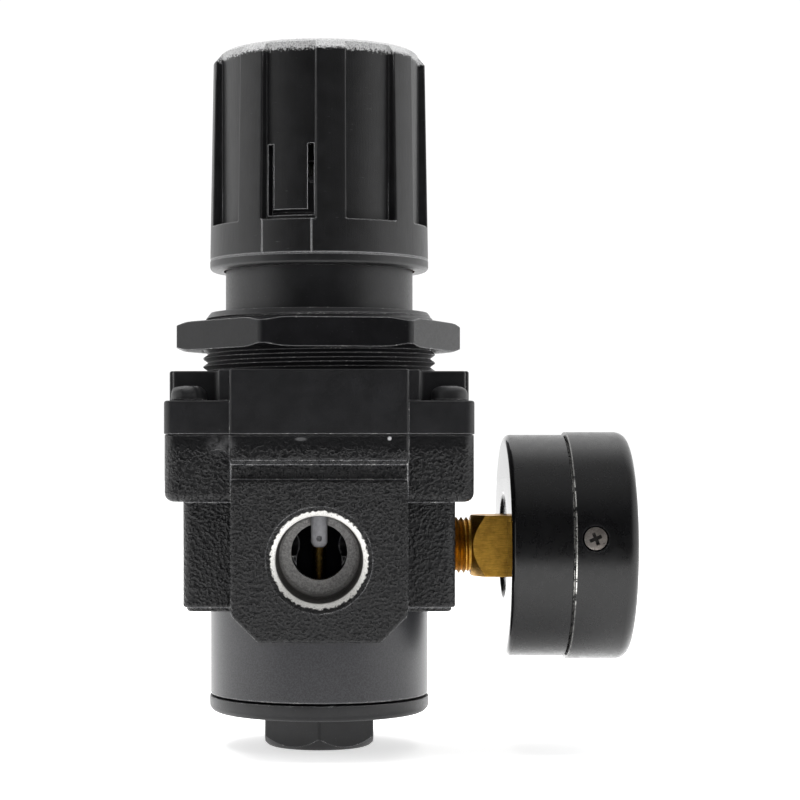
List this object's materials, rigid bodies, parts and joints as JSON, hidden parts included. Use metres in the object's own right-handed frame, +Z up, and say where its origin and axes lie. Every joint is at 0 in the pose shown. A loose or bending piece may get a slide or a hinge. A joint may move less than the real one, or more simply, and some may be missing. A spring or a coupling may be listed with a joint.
{
  "type": "air pressure regulator",
  "caption": "Compressed-air regulator with ribbed push-lock knob, panel nut, threaded ports front and back and a back-entry round pressure gauge.",
  "frame": {"origin": "centre of the underside of the hexagon boss, which the regulator stands on, on the axis of the knob and valve", "axes": "+Z up along the knob's axis; -Y is the way the outlet port faces; +X towards the gauge"},
  "size_m": [0.0817, 0.0544, 0.1248],
  "materials": {
    "cast_paint": "black wrinkle paint on die-cast metal",
    "satin_paint": "smooth satin black paint",
    "black_plastic": "satin moulded black plastic",
    "black_steel": "semi-gloss black lacquer on sheet steel",
    "black_screw": "black oxide steel, worn",
    "steel": "machined, bright",
    "brass": "turned brass, lightly tarnished",
    "rubber": "moulded nitrile rubber, matt",
    "grey_plastic": "translucent grey moulded plastic",
    "orange_plastic": "orange moulded plastic",
    "dial_white": "white printed dial plate",
    "clear": "clear moulded lens"
  },
  "bodies": {
    "casing": {"body": "cast_paint", "bottom_cap": "satin_paint", "bottom_cap_oring": "rubber", "valve_seat": "brass", "seat_oring": "rubber", "valve_spring": "steel", "aspirator_tube": "grey_plastic", "diaphragm": "rubber", "regulating_spring": "steel", "thrust_washer": "steel", "bonnet": "satin_paint", "indicator_ring": "orange_plastic", "gauge_plug": "brass", "bonnet_screw_1": "black_screw", "bonnet_screw_2": "black_screw", "bonnet_screw_3": "black_screw", "bonnet_screw_4": "black_screw", "gauge_socket": "brass", "gauge_case": "black_steel", "gauge_bezel": "black_steel", "lens_gasket": "rubber", "gauge_lens": "clear", "gauge_dial": "dial_white", "movement_plate_rear": "brass", "movement_plate_front": "brass", "bourdon_tube": "brass", "bourdon_tip": "brass", "bezel_screw_1": "steel", "bezel_screw_2": "steel", "bezel_screw_3": "steel", "dial_screw_1": "steel", "dial_screw_2": "steel", "movement_pillar_1": "brass", "movement_pillar_2": "brass"},
    "spindle": {"adjusting_screw": "steel", "screw_clip": "steel"},
    "knob": {"knob": "black_plastic"},
    "spring_seat": {"spring_seat": "steel"},
    "diaphragm_stack": {"lower_diaphragm_plate": "steel", "spring_plate": "steel", "relief_seat": "brass", "diaphragm_nut": "steel"},
    "valve": {"valve_poppet": "brass", "poppet_seal": "rubber", "valve_stem": "brass"},
    "panel_nut": {"panel_nut": "satin_paint"},
    "pointer": {"gauge_pointer": "black_steel", "pointer_shaft": "brass"},
    "sector": {"sector_gear": "brass"},
    "link": {"gauge_link": "brass"}
  },
  "joints": [
    {"name": "knob_turn", "type": "hinge", "parent": "casing", "child": "spindle", "pos_m": [0, 0, 0.098], "axis": [0, 0, -1], "range_deg": [0, 2160]},
    {"name": "knob_lock", "type": "slide", "parent": "spindle", "child": "knob", "axis": [0, 0, 1], "range_m": [0, 0.003]},
    {"name": "seat_travel", "type": "slide", "parent": "casing", "child": "spring_seat", "axis": [0, 0, -1], "range_m": [0, 0.009], "deforming": ["regulating_spring"]},
    {"name": "diaphragm_travel", "type": "slide", "parent": "casing", "child": "diaphragm_stack", "axis": [0, 0, -1], "range_m": [0, 0.0015], "stiffness_N_per_m": 2000, "springref_m": -0.001, "deforming": ["diaphragm"]},
    {"name": "valve_travel", "type": "slide", "parent": "casing", "child": "valve", "axis": [0, 0, -1], "range_m": [0, 0.0015], "deforming": ["valve_spring"]},
    {"name": "panel_nut_travel", "type": "slide", "parent": "casing", "child": "panel_nut", "axis": [0, 0, 1], "range_m": [-0.0037, 0.0055]},
    {"name": "pointer_turn", "type": "hinge", "parent": "casing", "child": "pointer", "pos_m": [0.0505, 0, 0.036], "axis": [-1, 0, 0], "range_deg": [0, 270]},
    {"name": "sector_turn", "type": "hinge", "parent": "casing", "child": "sector", "pos_m": [0.044, 0, 0.026], "axis": [-1, 0, 0], "range_deg": [-30, 0]},
    {"name": "link_turn", "type": "hinge", "parent": "sector", "child": "link", "pos_m": [0.0452, -0.00103, 0.02214], "axis": [-1, 0, 0], "range_deg": [0, 27]}
  ],
  "couplings": [
    {"joint": "knob_turn", "follows": "seat_travel", "rad_per_m": 4188.8},
    {"joint": "valve_travel", "follows": "diaphragm_travel", "ratio": 1},
    {"joint": "sector_turn", "follows": "pointer_turn", "ratio": -0.11111},
    {"joint": "link_turn", "follows": "pointer_turn", "ratio": 0.096956}
  ]
}
